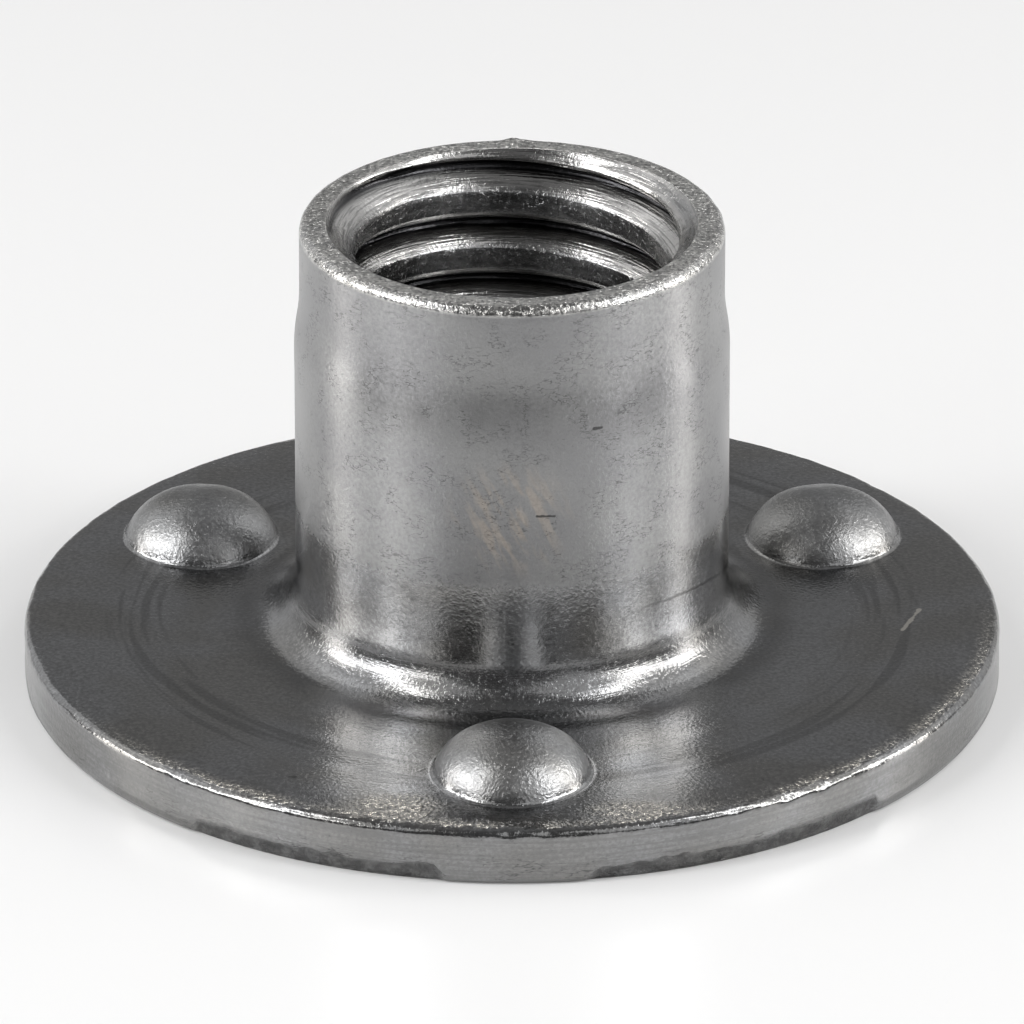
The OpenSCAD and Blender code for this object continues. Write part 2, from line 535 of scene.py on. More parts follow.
def top_height(xy):
    """Height of the top of the base, with its slight waves."""
    r = np.hypot(xy[..., 0], xy[..., 1])
    p = np.concatenate([xy, np.zeros(xy.shape[:-1] + (1,))], -1)
    calm = smooth_step(r, BARREL_R + ROOT_R, BARREL_R + ROOT_R + CALM_W)
    wave = lumpy(p, TOP_WAVES)
    wander = r + lumpy(p, TOP_WANDER)
    dish = DISH_DEPTH * smooth_step(wander, DISH_R + DISH_W / 2, DISH_R - DISH_W / 2)
    groove = CLAMP_DEPTH * np.exp(-((wander - CLAMP_R) / CLAMP_W) ** 2)
    return BASE_T - roll_fall(r) + calm * (wave - dish - groove)


def edge_arc_centre():
    """Centre of the base's rounded top edge and the lean at which it leaves the rolled band."""
    roll_r = (ROLL_W ** 2 + ROLL_DROP ** 2) / (2 * ROLL_DROP)
    lean = math.asin((ROLL_W - EDGE_R) / (roll_r - EDGE_R))
    z = BASE_T - roll_r + (roll_r - EDGE_R) * math.cos(lean)
    return BASE_R - EDGE_R, z, math.degrees(lean)


def disc_rings(centre, r, count):
    """A ring of points round a centre in plan, or one ring for each radius in a column of them."""
    a = columns(count)
    return np.stack([centre[0] + r * np.cos(a), centre[1] + r * np.sin(a)], -1)


def plan_points(inner, outer, spacing, holes, hole_r):
    """Evenly spread points between two radii, clear of the holes."""
    rings = max(2, round((outer - inner) / (spacing * ROW_STEP)))
    points = []
    for i in range(1, rings):
        r = inner + (outer - inner) * i / rings
        count = round(2 * math.pi * r / spacing)
        a = columns(count) + (i % 2) * math.pi / count
        points.append(np.stack([r * np.cos(a), r * np.sin(a)], -1))
    points = np.vstack(points)
    clear = np.ones(len(points), bool)
    for hole in holes:
        clear &= np.hypot(*(points - hole).T) > hole_r + spacing * HOLE_CLEAR
    return points[clear]


def plan_faces(loops, inside):
    """Triangulates the plan inside the first loop and outside the others, which are all convex."""
    points = [Vector(p) for p in np.vstack(loops + [inside])]
    edges = []
    owner = np.full(len(points), -1)
    start = 0
    for i, loop in enumerate(loops):
        n = len(loop)
        edges += [(start + j, start + (j + 1) % n) for j in range(n)]
        owner[start:start + n] = i
        start += n
    verts, _, faces, origins, _, _ = delaunay_2d_cdt(points, edges, [], 0, 1e-9)
    of_loop = [owner[o[0]] for o in origins]
    # A face whose corners all lie on one hole's loop fills that hole
    kept = [f for f in faces if len({of_loop[i] for i in f}) > 1 or of_loop[f[0]] < 1]
    return np.array([tuple(v) for v in verts]), kept


def base_plan(inner, outer, spacing, hole_r, hole_columns):
    """Triangulated plan of the base between two radii, with a hole at each projection."""
    centres = projection_centres()
    loops = [disc_rings((0, 0), outer, EDGE_COLUMNS), disc_rings((0, 0), inner, BARREL_COLUMNS)]
    loops += [disc_rings(c, hole_r, hole_columns) for c in centres]
    return plan_faces(loops, plan_points(inner, outer, spacing, centres, hole_r))


def add_plan(shell, verts, faces, height, flip, **marks):
    """Adds a triangulated plan, lifted to a height for each point."""
    start = shell.add_points(np.column_stack([verts, height(verts)]), **marks)
    for f in faces:
        f = f[::-1] if flip else f
        shell.faces.append(tuple(start + i for i in f))


def painted_highlight_share(points):
    """How much highlight is painted on the base: patches of its brink in front, and the patches of painted
    reflection by the front projection.
    """
    x, y = points[:, 0], points[:, 1]
    patches = lumpy(points, BRINK_PATCHES)
    # A painted highlight along the brink, in front only
    brink = smooth_step(np.hypot(x, y), BASE_R - BRINK_W, BASE_R - BRINK_W / 2)
    in_front = smooth_step(BRINK_LEAN * x - y, *BRINK_FRONT)
    share = brink * in_front * smooth_step(patches, *BRINK_BROKEN)
    # Patches of painted reflection by the front projection
    for patch_x, patch_y, long, short, strength in PAINTED_REFLECTIONS:
        off = np.hypot((x - patch_x) / long, (y - patch_y) / short)
        rubbed = strength * smooth_step(off + PAINTED_REFLECTION_RAGGED * patches, *PAINTED_REFLECTION_FADE)
        share = np.maximum(share, rubbed)
    return share


def add_top(shell):
    """Top of the base between the barrel's root and the rounded edge, with its projections."""
    edge_x, _, lean = edge_arc_centre()
    inner = BARREL_R + ROOT_R
    outer = edge_x + EDGE_R * math.sin(math.radians(lean))
    verts, faces = base_plan(inner, outer, TOP_SPACING, DOME_RING_R, DOME_COLUMNS)
    flat = np.column_stack([verts, np.zeros(len(verts))])
    # The top carries the painted highlight of the front brink, the painted reflections by the front
    # projection and the painted shade round the heel
    add_plan(shell, verts, faces, top_height, False, brink=painted_highlight_share(flat), soot=heel_painted_shade(flat))
    profile = dome_profile()
    skirt = straight((DOME_RING_R, 0), profile[0], 4)
    profile = np.vstack([[DOME_RING_R, 0], skirt, profile])
    for centre in projection_centres():
        add_dome(shell, centre, profile)


def add_dome(shell, centre, profile):
    """A projection on the base, from its skirt to its crown."""
    xy = disc_rings(centre, profile[:, 0, None], DOME_COLUMNS)
    z = top_height(xy) + profile[:, 1, None]
    grid = np.concatenate([xy, z[..., None]], -1)
    on_dome = smooth_step(profile[:, 1], 0.0, 0.3)
    grid[..., 2] += on_dome[:, None] * lumpy(grid, DOME_LUMPS)
    marks = np.broadcast_to(on_dome[:, None], grid.shape[:2])
    shell.add_grid(grid, dome=marks)
    top = grid[-1].mean(0) + np.array([0, 0, 0.0005])
    shell.add_cap(grid[-1], top, dome=1.0)


def edge_points(a, z):
    """Points round the edge of the base at angles and heights."""
    return np.stack([BASE_R * np.cos(a), BASE_R * np.sin(a), z + np.zeros_like(a)], -1)


def torn_share(a):
    """How much the foot of the edge has torn at each angle, from 0 to 1."""
    degrees = (np.degrees(a) + 180) % 360 - 180
    ring = edge_points(a, 0)
    wander = degrees + lumpy(ring, TORN_WANDER)
    front = np.zeros_like(a)
    for start, end in TORN_FRONT:
        begun = smooth_step(wander, start - TORN_SOFT, start + TORN_SOFT)
        ended = smooth_step(wander, end + TORN_SOFT, end - TORN_SOFT)
        front = np.maximum(front, begun * ended)
    behind = smooth_step(lumpy(ring, TORN_BEHIND), *TORN_BEHIND_FADE)
    seen = (degrees > TORN_FRONT_REACH[0]) & (degrees < TORN_FRONT_REACH[1])
    return np.where(seen, front, behind)


def edge_nicks(a):
    """Depth of the nicks in the rounded top of the edge at each angle."""
    depth = np.zeros_like(a)
    for degrees, half, cut in EDGE_NICKS:
        along = BASE_R * ((a - math.radians(degrees) + math.pi) % (2 * math.pi) - math.pi)
        depth += cut * np.exp(-(along / half) ** 2)
    return depth


def tear_line(a, share):
    """Height at which the foot of the edge ends, at each angle."""
    ring = edge_points(a, 0)
    waves = (TEAR_WAVE + TEAR_TORN_WAVE * share) * lumpy(ring, TEAR_WAVES)
    line = TEAR_LOW + share * TEAR_GROWTH + waves
    line += share * lumpy(ring, TEAR_RAGGED)
    return np.clip(line, *TEAR_RANGE)


def foot_rows(a, share, line):
    """Rows of the edge's foot, each with its radius, height, torn mark and wall mark."""
    none, full = np.zeros_like(a), np.ones_like(a)
    rows = [(np.full_like(a, BASE_R - TEAR_W - FOOT_EDGE_R), none, share, full)]
    for t in np.linspace(0, 1, 9):
        z = FOOT_EDGE_R + t * (line - FOOT_EDGE_R)
        fall = TEAR_W * (1 - t) ** 0.8 * (SOUND_FALL + (1 - SOUND_FALL) * share)
        fall = fall + TEAR_STEP * share * smooth_step(t, 1.0, 0.88)
        rough = lumpy(edge_points(a, z * 2), TORN_LUMPS)
        broken = smooth_step(t, 1.0, 0.8) * share
        r = BASE_R - fall + broken * np.minimum(rough, TEAR_PROUD)
        rows.append((r, z, share * (1 - t ** 8), full))
    return rows


def wall_rows(a, line, top):
    """Rows of the edge's burnished band, as in foot_rows."""
    rows = []
    for t in np.linspace(0, 1, 7)[1:-1]:
        z = line + t * (top - line)
        bulge = lumpy(edge_points(a, z), WALL_LUMPS)
        rows.append((BASE_R - WALL_IN + bulge, z, np.zeros_like(a), np.ones_like(a)))
    return rows


def round_rows(a):
    """Rows of the edge's rounded top, as in foot_rows. Its lumps and nicks fade out at both ends."""
    edge_x, edge_z, lean = edge_arc_centre()
    rows = []
    for deg in np.linspace(0, 90 - lean, 9):
        c, s = math.cos(math.radians(deg)), math.sin(math.radians(deg))
        lumps = lumpy(edge_points(a, s), EDGE_LUMPS)
        bulk = EDGE_R + math.sin(math.pi * deg / (90 - lean)) * (lumps - edge_nicks(a))
        wall = np.full_like(a, 1 - min(1.0, deg / LIP_DEG))
        rows.append((edge_x + bulk * c, edge_z + bulk * s, np.zeros_like(a), wall))
    return rows


def add_edge(shell):
    """The blanked edge: torn foot, burnished band and rounded top, up to the top of the base."""
    a = columns(EDGE_COLUMNS)
    share = torn_share(a)
    line = tear_line(a, share)
    rows = foot_rows(a, share, line) + wall_rows(a, line, edge_arc_centre()[1]) + round_rows(a)
    r, z, torn, wall = (np.stack(part) for part in zip(*rows))
    grid = np.stack([r * np.cos(a), r * np.sin(a), z], -1)
    grid[-1, :, 2] = top_height(grid[-1, :, :2])
    shell.add_grid(grid, torn=torn, wall=wall)


def barrel_profile():
    """Half section of the barrel from its root to the countersink's edge."""
    step = BARREL_R - CROWN_R
    neck_h = CROWN_Z - BLEND_Z
    neck_r = (neck_h ** 2 + step ** 2) / (4 * step)
    half = math.degrees(math.asin(neck_h / 2 / neck_r))
    corner = MOUTH_EDGE_R * math.tan(math.radians(22.5))
    return np.vstack([
        arc(BARREL_R + ROOT_R, ROOT_Z, ROOT_R, 270, 180, 17),
        straight((BARREL_R, ROOT_Z), (BARREL_R, BLEND_Z), 21),
        arc(BARREL_R - neck_r, BLEND_Z, neck_r, 0, half, 5),
        arc(CROWN_R + neck_r, CROWN_Z, neck_r, 180 + half, 180, 5)[1:],
        straight((CROWN_R, CROWN_Z), (CROWN_R, NUT_H - RIM_R), 7),
        arc(CROWN_R - RIM_R, NUT_H - RIM_R, RIM_R, 0, 90, 9),
        straight((CROWN_R - RIM_R, NUT_H), (MOUTH_R + corner, NUT_H), 4),
        arc(MOUTH_R + corner, NUT_H - MOUTH_EDGE_R, MOUTH_EDGE_R, 90, 135, 4),
    ])


def heel_painted_shade(points):
    """Painted shade round the heel of the barrel, where its fillet meets the base."""
    r = np.hypot(points[..., 0], points[..., 1])
    plan = points * np.array([1, 1, 0])
    ring = np.exp(-((r - BARREL_R - ROOT_R) / HEEL_PAINTED_SHADE_W) ** 2)
    return HEEL_PAINTED_SHADE * ring * (1 + lumpy(plan, HEEL_PATCHES))


def soot(grid):
    """Painted shade on the barrel: a band under the crown in front, and one round the foot, fainter in
    front.
    """
    x, y, z = np.moveaxis(grid, -1, 0)
    turn = np.degrees(np.abs(np.arctan2(x, -y)))
    neck = NECK_PAINTED_SHADE * smooth_step(turn, *NECK_PAINTED_SHADE_TURN)
    foot = FOOT_PAINTED_SHADE * smooth_step(turn, *FOOT_PAINTED_SHADE_TURN)
    foot = foot + FRONT_PAINTED_SHADE * smooth_step(turn, *FRONT_PAINTED_SHADE_TURN)
    bands = neck * np.exp(-((z - NECK_PAINTED_SHADE_Z) / PAINTED_SHADE_W) ** 2)
    bands = bands + foot * np.exp(-((z - FOOT_PAINTED_SHADE_Z) / PAINTED_SHADE_W) ** 2)
    return bands * (1 + lumpy(grid, PAINTED_SHADE_PATCHES))


def add_barrel(shell):
    """Outside of the barrel, from its root over the rim to the countersink."""
    profile = barrel_profile()
    grid = turned(profile, BARREL_COLUMNS)
    inward = np.zeros_like(grid)
    inward[..., :2] = -grid[..., :2] / np.linalg.norm(grid[..., :2], axis=-1, keepdims=True)
    z = grid[..., 2]
    r = np.hypot(grid[..., 0], grid[..., 1])
    flat = smooth_step(r, CROWN_R - RIM_R * 0.4, CROWN_R - RIM_R) * (z > CROWN_Z)
    rim = smooth_step(z, NUT_H - RIM_R, NUT_H - RIM_R * 0.7)
    calm = smooth_step(z, BASE_T, ROOT_Z) * (1 - flat)
    dents = lumpy(grid, BARREL_DENTS) + rim * lumpy(grid, RIM_DENTS)
    grid += inward * (calm * dents)[..., None]
    around = CROWN_R * (np.arctan2(grid[..., 1], grid[..., 0]) - BURR_ANGLE)
    burr = BURR_H * np.exp(-(around / BURR_W) ** 2) * (1 + lumpy(grid, BURR_LUMPS))
    inner = smooth_step(r, MOUTH_R + MOUTH_EDGE_R * 0.5, MOUTH_R + MOUTH_EDGE_R * 2)
    grid[..., 2] += flat * inner * (lumpy(grid, LAND_LUMPS) + burr)
    barrel = smooth_step(z, BASE_T, ROOT_Z) * (1 - rim)
    # Painted shade: bands on the barrel, the fillet, darker at its sides, and the heel
    aside = smooth_step(np.abs(grid[..., 0]) + grid[..., 1], *FILLET_ASIDE)
    fillet = 4 * barrel * (1 - barrel) * (z < ROOT_Z) * (1 + aside)
    dark = barrel * soot(grid) + heel_painted_shade(grid) + FILLET_PAINTED_SHADE * fillet
    shell.add_grid(grid, rim=rim * (1 - flat), land=flat, barrel=barrel, soot=dark)
    return profile[-1]


def thread_curve():
    """Radius of the thread across one pitch, with rounded crests, as a function of the offset."""
    depth = MAJOR_R - BORE_R
    crest_half = PITCH / 2 - ROOT_FLAT / 2 - depth * math.tan(FLANK)
    u = np.linspace(-PITCH / 2, PITCH / 2, 801)
    w = np.clip((np.abs(u) - crest_half) / (depth * math.tan(FLANK)), 0, 1)
    r = BORE_R + depth * (1 + BULGE - np.sqrt((1 + BULGE) ** 2 - 4 * BULGE * w)) / (2 * BULGE)
    kernel = np.hanning(41)
    wrapped = np.concatenate([r[-41:-1], r, r[1:41]])
    r = np.convolve(wrapped, kernel / kernel.sum(), "same")[40:-40]
    return u, r, crest_half


def bore_radius(z):
    """Radius of the bore without its thread: drawn entry, crest bore and countersink."""
    up = np.clip(DRAW_R - z, 0, DRAW_R)
    entry = DRAW_R - np.sqrt(np.maximum(DRAW_R ** 2 - up ** 2, 0))
    return BORE_R + entry + np.clip(z - MOUTH_Z, 0, None)


def thread_rows(crest_half):
    """Offsets of the grid rows within a pitch, closest at the corners."""
    root_half = ROOT_FLAT / 2
    flank_end = PITCH / 2 - root_half
    crest = [0, crest_half * 0.5, crest_half * 0.95]
    flank = [crest_half + (flank_end - crest_half) * t for t in (0.05, 0.3, 0.55, 0.8, 0.97)]
    half = crest + flank
    return np.array(sorted([-v for v in half[1:]] + half + [PITCH / 2]))


def add_thread(shell, top):
    """Inside of the barrel: the threaded bore between the countersink and the drawn entry."""
    u, r_of_u, crest_half = thread_curve()
    offsets = thread_rows(crest_half)
    reach = DRAW_R - (MAJOR_R + THREAD_CLEAR - BORE_R)
    bottom = DRAW_R - math.sqrt(DRAW_R ** 2 - reach ** 2)
    nominal = np.concatenate([CREST_Z + t * PITCH + offsets for t in TURNS])
    a = columns(BARREL_COLUMNS)
    lead = PITCH * (a - CREST_ANGLE) / (2 * math.pi)
    z = np.clip(nominal[:, None] + lead, bottom, top[1])
    phase = (z - CREST_Z - lead + PITCH / 2) % PITCH - PITCH / 2
    thread = np.interp(phase, u, r_of_u)
    plain = bore_radius(z)
    r = np.logaddexp(thread / THREAD_SOFT, plain / THREAD_SOFT) * THREAD_SOFT
    r -= THREAD_SOFT * math.log(2) * np.exp(-((thread - plain) / THREAD_SOFT) ** 2)
    ends = smooth_step(z, bottom, bottom + FADE_FOOT) * smooth_step(z, top[1], top[1] - FADE_MOUTH)
    r = plain + (r - plain) * ends
    r = np.where(z >= top[1], top[0], r)
    on_crest = smooth_step(np.abs(phase), crest_half * 1.25, crest_half * 0.9) * ends
    grid = np.stack([r * np.cos(a), r * np.sin(a), z], -1)
    r = r + on_crest * lumpy(grid, CREST_CHIPS)
    grid = np.stack([r * np.cos(a), r * np.sin(a), z], -1)
    begin, full = ROOT_PAINTED_SHADE
    # The thread's roots are painted dark as shade
    in_root = smooth_step(r, MAJOR_R - begin, MAJOR_R - full) * (thread > plain) * ends
    shell.add_grid(grid, flip=True, shift=len(offsets), crest=on_crest, root=in_root, thread=1.0)
    return bottom


def add_draw(shell, bottom):
    """Drawn entry below the thread, down to the underside."""
    start = 180 + math.degrees(math.asin((DRAW_R - bottom) / DRAW_R))
    profile = arc(BORE_R + DRAW_R, DRAW_R, DRAW_R, start, 270, 12)
    profile[-1, 1] = 0
    shell.add_grid(turned(profile, BARREL_COLUMNS))


def punch_profile():
    """Half section of the punch mark from its ring inwards, as (distance, height)."""
    sphere_r = (PUNCH_R ** 2 + PUNCH_DEPTH ** 2) / (2 * PUNCH_DEPTH)
    cz = PUNCH_DEPTH - sphere_r
    # The lip arc touches the underside and the sphere
    reach = sphere_r + PUNCH_EDGE_R
    rise = PUNCH_EDGE_R - cz
    lip_x = math.sqrt(reach ** 2 - rise ** 2)
    lean = math.degrees(math.atan2(rise, lip_x))
    lip = arc(lip_x, PUNCH_EDGE_R, PUNCH_EDGE_R, 270, 180 + lean, 5)
    wall = arc(0, cz, sphere_r, lean, 86, 10)
    skirt = straight((PUNCH_RING_R, 0), lip[0], 2)
    return np.vstack([[PUNCH_RING_R, 0], skirt, lip, wall[1:]])


def add_underside(shell):
    """Flat underside with a punch mark under each projection."""
    inner = BORE_R + DRAW_R
    outer = BASE_R - TEAR_W - FOOT_EDGE_R
    count = DOME_COLUMNS // 2
    verts, faces = base_plan(inner, outer, UNDER_SPACING, PUNCH_RING_R, count)
    add_plan(shell, verts, faces, lambda v: np.zeros(len(v)), True)
    profile = punch_profile()
    for centre in projection_centres():
        xy = disc_rings(centre, profile[:, 0, None], count)
        z = np.broadcast_to(profile[:, 1, None], xy.shape[:2])
        grid = np.concatenate([xy, z[..., None]], -1)
        shell.add_grid(grid, flip=True)
        shell.add_cap(grid[-1], grid[-1].mean(0) + np.array([0, 0, 0.001]), flip=True)


def nut_mesh():
    """The whole nut as one closed mesh."""
    shell = Shell()
    add_edge(shell)
    add_top(shell)
    top = add_barrel(shell)
    bottom = add_thread(shell, top)
    add_draw(shell, bottom)
    add_underside(shell)
    return shell.make("weld_nut_body")


class Nodes:
    """Short calls for the node tree of a material or world. Plain values go straight onto the sockets."""

    def __init__(self, owner):
        owner.use_nodes = True
        self.tree = owner.node_tree
        self.shader = self.tree.nodes.get("Principled BSDF") or self.tree.nodes["Background"]

    def node(self, kind, **settings):
        node = self.tree.nodes.new(kind)
        for name, value in settings.items():
            setattr(node, name, value)
        return node

    def put(self, socket, value):
        if isinstance(value, bpy.types.NodeSocket):
            self.tree.links.new(value, socket)
        else:
            socket.default_value = value

    def math(self, operation, *values, clamp=False):
        node = self.node("ShaderNodeMath", operation=operation, use_clamp=clamp)
        for socket, value in zip(node.inputs, values):
            self.put(socket, value)
        return node.outputs[0]

    def add(self, first, *rest):
        for value in rest:
            first = self.math("ADD", first, value)
        return first

    def times(self, first, *rest):
        for value in rest:
            first = self.math("MULTIPLY", first, value)
        return first

    def less(self, value):
        """One minus the value."""
        return self.math("SUBTRACT", 1.0, value)

    def mark(self, name):
        """A mark stored on the mesh's points."""
        return self.node("ShaderNodeAttribute", attribute_name=name).outputs["Fac"]

    def ease(self, value, start, end, low=0.0, high=1.0):
        """Runs smoothly from low to high as the value runs from start to end."""
        node = self.node("ShaderNodeMapRange", interpolation_type="SMOOTHSTEP")
        for socket, v in zip(node.inputs, (value, start, end, low, high)):
            self.put(socket, v)
        return node.outputs[0]

    def noise(self, vector, scale, detail):
        node = self.node("ShaderNodeTexNoise")
        self.put(node.inputs["Vector"], vector)
        self.put(node.inputs["Scale"], scale)
        self.put(node.inputs["Detail"], detail)
        self.put(node.inputs["Roughness"], NOISE_ROUGHNESS)
        return node.outputs[0]

    def vector(self, x, y, z):
        node = self.node("ShaderNodeCombineXYZ")
        for socket, value in zip(node.inputs, (x, y, z)):
            self.put(socket, value)
        return node.outputs[0]

    def vector_math(self, operation, first, second=None):
        """A number or a vector, as the operation gives."""
        node = self.node("ShaderNodeVectorMath", operation=operation)
        self.put(node.inputs[0], first)
        if second is not None:
            self.put(node.inputs[1], second)
        gives_number = operation in ("DOT_PRODUCT", "LENGTH", "DISTANCE")
        return node.outputs["Value" if gives_number else "Vector"]

    def mix(self, factor, first, second):
        """A colour between two."""
        node = self.node("ShaderNodeMix", data_type="RGBA")
        self.put(node.inputs[0], factor)
        self.put(node.inputs[6], first)
        self.put(node.inputs[7], second)
        return node.outputs[2]

    def blend(self, factor, first, second):
        """A number between two."""
        node = self.node("ShaderNodeMix", data_type="FLOAT")
        self.put(node.inputs[0], factor)
        self.put(node.inputs[2], first)
        self.put(node.inputs[3], second)
        return node.outputs[0]


def place(n):
    """Where a point lies: its position, radius, angle and height, and what its turned lines follow."""
    position = n.node("ShaderNodeTexCoord").outputs["Object"]
    split = n.node("ShaderNodeSeparateXYZ")
    n.put(split.inputs[0], position)
    x, y, z = split.outputs
    radius = n.math("MAXIMUM", n.math("SQRT", n.add(n.times(x, x), n.times(y, y))), 0.1 * MM)
    return {
        "position": position,
        "z": z,
        "radius": radius,
        "angle": n.math("ARCTAN2", y, x),
        "across": n.math("DIVIDE", x, radius),
        "along": n.math("DIVIDE", y, radius),
    }


def speckle(n, at, size, detail=2.0):
    """Even noise with grains of about the given size in mm."""
    return n.noise(at["position"], 1 / (size * MM), detail)


def drawn_out(n, at, turns, way, width):
    """A space in which noise is drawn out round the axis, with lines of a width in mm across the way."""
    across = n.times(at["across"], turns)
    along = n.times(at["along"], turns)
    return n.vector(across, along, n.times(way, 1 / (width * MM)))


def tool_lines(n, at, turns, width, detail):
    """Noise drawn out round the axis into lines of about the given width in mm."""
    # Height less radius grows all the way up the outside, and radius with some height across the flanks
    outside = n.math("SUBTRACT", at["z"], at["radius"])
    inside = n.add(at["radius"], n.times(at["z"], LINES_LEAN))
    way = n.blend(n.mark("thread"), outside, inside)
    return n.noise(drawn_out(n, at, turns, way, width), 1.0, detail)


def band(n, value, middle, half, soft):
    """1 within half of the middle, fading to 0 over a soft margin. Sizes in mm."""
    gap = n.math("ABSOLUTE", n.math("SUBTRACT", value, middle * MM))
    return n.ease(gap, (half + soft) * MM, half * MM)


def wrinkles(n, at):
    """Thin broken wrinkles that run mostly round the barrel."""
    turns, width = WRINKLES
    space = drawn_out(n, at, turns, at["z"], width)
    line = n.math("ABSOLUTE", n.math("SUBTRACT", n.noise(space, 1.0, 2.0), 0.5))
    patches = n.ease(speckle(n, at, WRINKLE_PATCH, 1.0), 0.48, 0.6)
    return n.times(n.ease(line, 0.03, 0.0), patches)


def fold(n, at, lumps):
    """The thin fold that curves across the lower barrel, right of the camera."""
    turn = n.math("SUBTRACT", at["angle"], FOLD_ANGLE)
    curve = n.add(FOLD_Z * MM, n.times(turn, turn, -FOLD_BEND * MM))
    wiggle = n.times(n.math("SUBTRACT", lumps, 0.5), 0.15 * MM)
    gap = n.math("ABSOLUTE", n.math("SUBTRACT", n.add(at["z"], wiggle), curve))
    shown = n.times(n.ease(turn, -0.25, 0.3), n.ease(turn, FOLD_REACH, FOLD_REACH * 0.8))
    return n.times(n.ease(gap, 0.06 * MM, 0.01 * MM), shown)


def stroke(n, at, lumps, start, end, width):
    """A ragged scratch between two points in mm."""
    start = Vector(start) * MM
    way = Vector(end) * MM - start
    from_start = n.vector_math("SUBTRACT", at["position"], start)
    reach = n.vector_math("DOT_PRODUCT", from_start, way)
    share = n.math("MULTIPLY", reach, 1 / way.length_squared, clamp=True)
    nearest = n.vector(*(n.times(share, step) for step in way))
    gap = n.vector_math("LENGTH", n.vector_math("SUBTRACT", from_start, nearest))
    ragged = n.add(gap, n.times(n.math("SUBTRACT", lumps, 0.5), width * 3 * MM))
    return n.ease(ragged, width * MM, width * MM * 0.3)


def strokes(n, at, lumps, rows):
    """Several scratches together."""
    total = 0.0
    for start, end, width in rows:
        total = n.math("MAXIMUM", total, stroke(n, at, lumps, start, end, width))
    return total


def smudge(n, at):
    """Tan streaks of dried oil on the front of the barrel."""
    near = n.vector_math("DISTANCE", at["position"], Vector(SMUDGE_AT) * MM)
    inside = n.ease(near, SMUDGE_R * MM, SMUDGE_R * MM * 0.35)
    slant = n.add(n.times(at["z"], SMUDGE_SLANT), n.times(at["angle"], BARREL_R * MM))
    across = n.times(slant, 1 / (STREAK_W * MM))
    up = n.times(at["z"], 1 / (STREAK_LENGTH * MM))
    streaks = n.noise(n.vector(across, 0.0, up), 1.0, 2.0)
    return n.times(inside, n.ease(streaks, 0.46, 0.62))


def steel_marks(n, at, lumps):
    """How much each point belongs to each zone of the surface."""
    on = {name: n.mark(name) for name in ZONES}
    ragged = n.add(at["z"], n.times(n.math("SUBTRACT", lumps, 0.5), 0.25 * MM))
    above = n.ease(ragged, (SHANK_FOOT - SHANK_SOFT) * MM, (SHANK_FOOT + SHANK_SOFT) * MM)
    on["shank"] = n.times(on["barrel"], above)
    foot = n.times(on["wall"], n.ease(at["z"], 1.0 * MM, 0.5 * MM))
    on["wrinkle"] = n.times(wrinkles(n, at), n.add(on["barrel"], foot))
    on["fold"] = n.times(fold(n, at, lumps), on["barrel"])
    on["scratch"] = strokes(n, at, lumps, BRIGHT_SCRATCHES)
    on["gouge"] = strokes(n, at, lumps, DARK_GOUGES)
    on["smudge"] = n.times(smudge(n, at), on["barrel"])
    on["rings"] = rings(n, at)
    return on


def rings(n, at):
    """Soft dark arcs on the base where a clamp has turned."""
    elsewhere = n.add(n.mark("thread"), n.mark("wall"), n.mark("dome"))
    arcs = n.ease(tool_lines(n, at, *ARCS, 1.0), 0.52, 0.38)
    return n.times(band(n, at["radius"], RING_R, RING_W, 0.3), arcs, n.less(elsewhere))


def clean_colour(n, at, on, grit):
    """Grey steel, stained in places, with dark pits between its grains."""
    stain = n.ease(speckle(n, at, STAIN, 1.0), 0.35, 0.65)
    base = n.mix(stain, STEEL["base_stained"], STEEL["base"])
    shank = n.mix(stain, STEEL["shank_stained"], STEEL["shank"])
    pits = n.times(n.less(grit), n.ease(on["shank"], 0.0, 1.0, 0.5, 0.3))
    return n.mix(pits, n.mix(on["shank"], base, shank), STEEL["pit"])


def worn_share(n, on, grain, lumps):
    """How much the land and the rim are worn bright, in grains and patches."""
    bright = n.add(on["land"], n.times(on["rim"], 0.6))
    return n.times(bright, n.ease(grain, 0.25, 0.55), n.ease(lumps, 0.35, 0.6, 0.55, 1.0))


def crack_share(n, on, grain, lines):
    """How dark the wrinkles, the fold, the gouges, the deepest grain and the cuts in the thread are."""
    total = n.times(on["wrinkle"], 0.6)
    others = (
        n.times(on["fold"], 0.75),
        n.times(on["gouge"], 0.85),
        n.ease(grain, 0.31, 0.24, 0.0, 0.4),
        n.times(on["thread"], n.ease(lines, 0.5, 0.34, 0.0, 0.4)),
    )
    for other in others:
        total = n.math("MAXIMUM", total, other)
    return total


